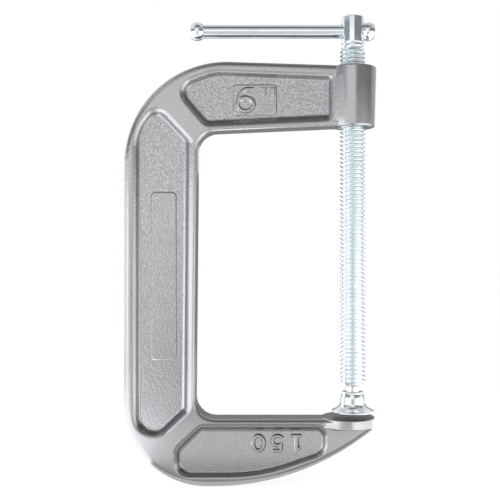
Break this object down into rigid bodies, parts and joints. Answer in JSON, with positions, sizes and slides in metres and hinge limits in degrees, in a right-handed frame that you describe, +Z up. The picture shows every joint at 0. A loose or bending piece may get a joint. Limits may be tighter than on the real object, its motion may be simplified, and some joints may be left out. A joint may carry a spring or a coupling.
{
  "type": "c clamp",
  "caption": "C clamp with a cast frame, tapped boss and round anvil; a threaded spindle turned by a sliding tommy bar presses a swivelling pad.",
  "frame": {"origin": "where the screw's axis meets the anvil's face", "axes": "+Z up along the screw from the anvil to the boss, -X from the screw across the throat to the frame's spine, Y through the thickness of the casting; -Y is the side with the raised marks"},
  "size_m": [0.1421, 0.0302, 0.2639],
  "materials": {
    "frame_paint": "silver-grey enamel over a cast surface",
    "spindle_zinc": "bright zinc plate, rolled thread",
    "ball_end_zinc": "bright zinc plate, turned",
    "pad_zinc": "bright zinc plate, turned and swaged",
    "bar_zinc": "bright zinc plate, drawn bar",
    "knob_zinc": "bright zinc plate, pressed on"
  },
  "bodies": {
    "frame": {"c_frame": "frame_paint"},
    "screw_end": {"ball_end": "ball_end_zinc"},
    "screw": {"spindle": "spindle_zinc"},
    "handle": {"tommy_bar": "bar_zinc", "bar_knob_left": "knob_zinc", "bar_knob_right": "knob_zinc"},
    "pad": {"swivel_pad": "pad_zinc"}
  },
  "joints": [
    {"name": "screw_feed", "type": "slide", "parent": "frame", "child": "screw_end", "axis": [0, 0, 1], "range_m": [0, 0.14737]},
    {"name": "screw_turn", "type": "hinge", "parent": "screw_end", "child": "screw", "pos_m": [0, 0, 0], "axis": [0, 0, 1], "range_deg": [0, 22104]},
    {"name": "bar_slide", "type": "slide", "parent": "screw", "child": "handle", "axis": [1, 0, 0], "range_m": [0, 0.07925]},
    {"name": "pad_swivel", "type": "hinge", "parent": "screw_end", "child": "pad", "pos_m": [0, 0, 0.00949], "axis": [0, 1, 0], "range_deg": [-8, 8]}
  ],
  "couplings": [
    {"joint": "screw_feed", "follows": "screw_turn", "m_per_rad": 0.00038197}
  ]
}
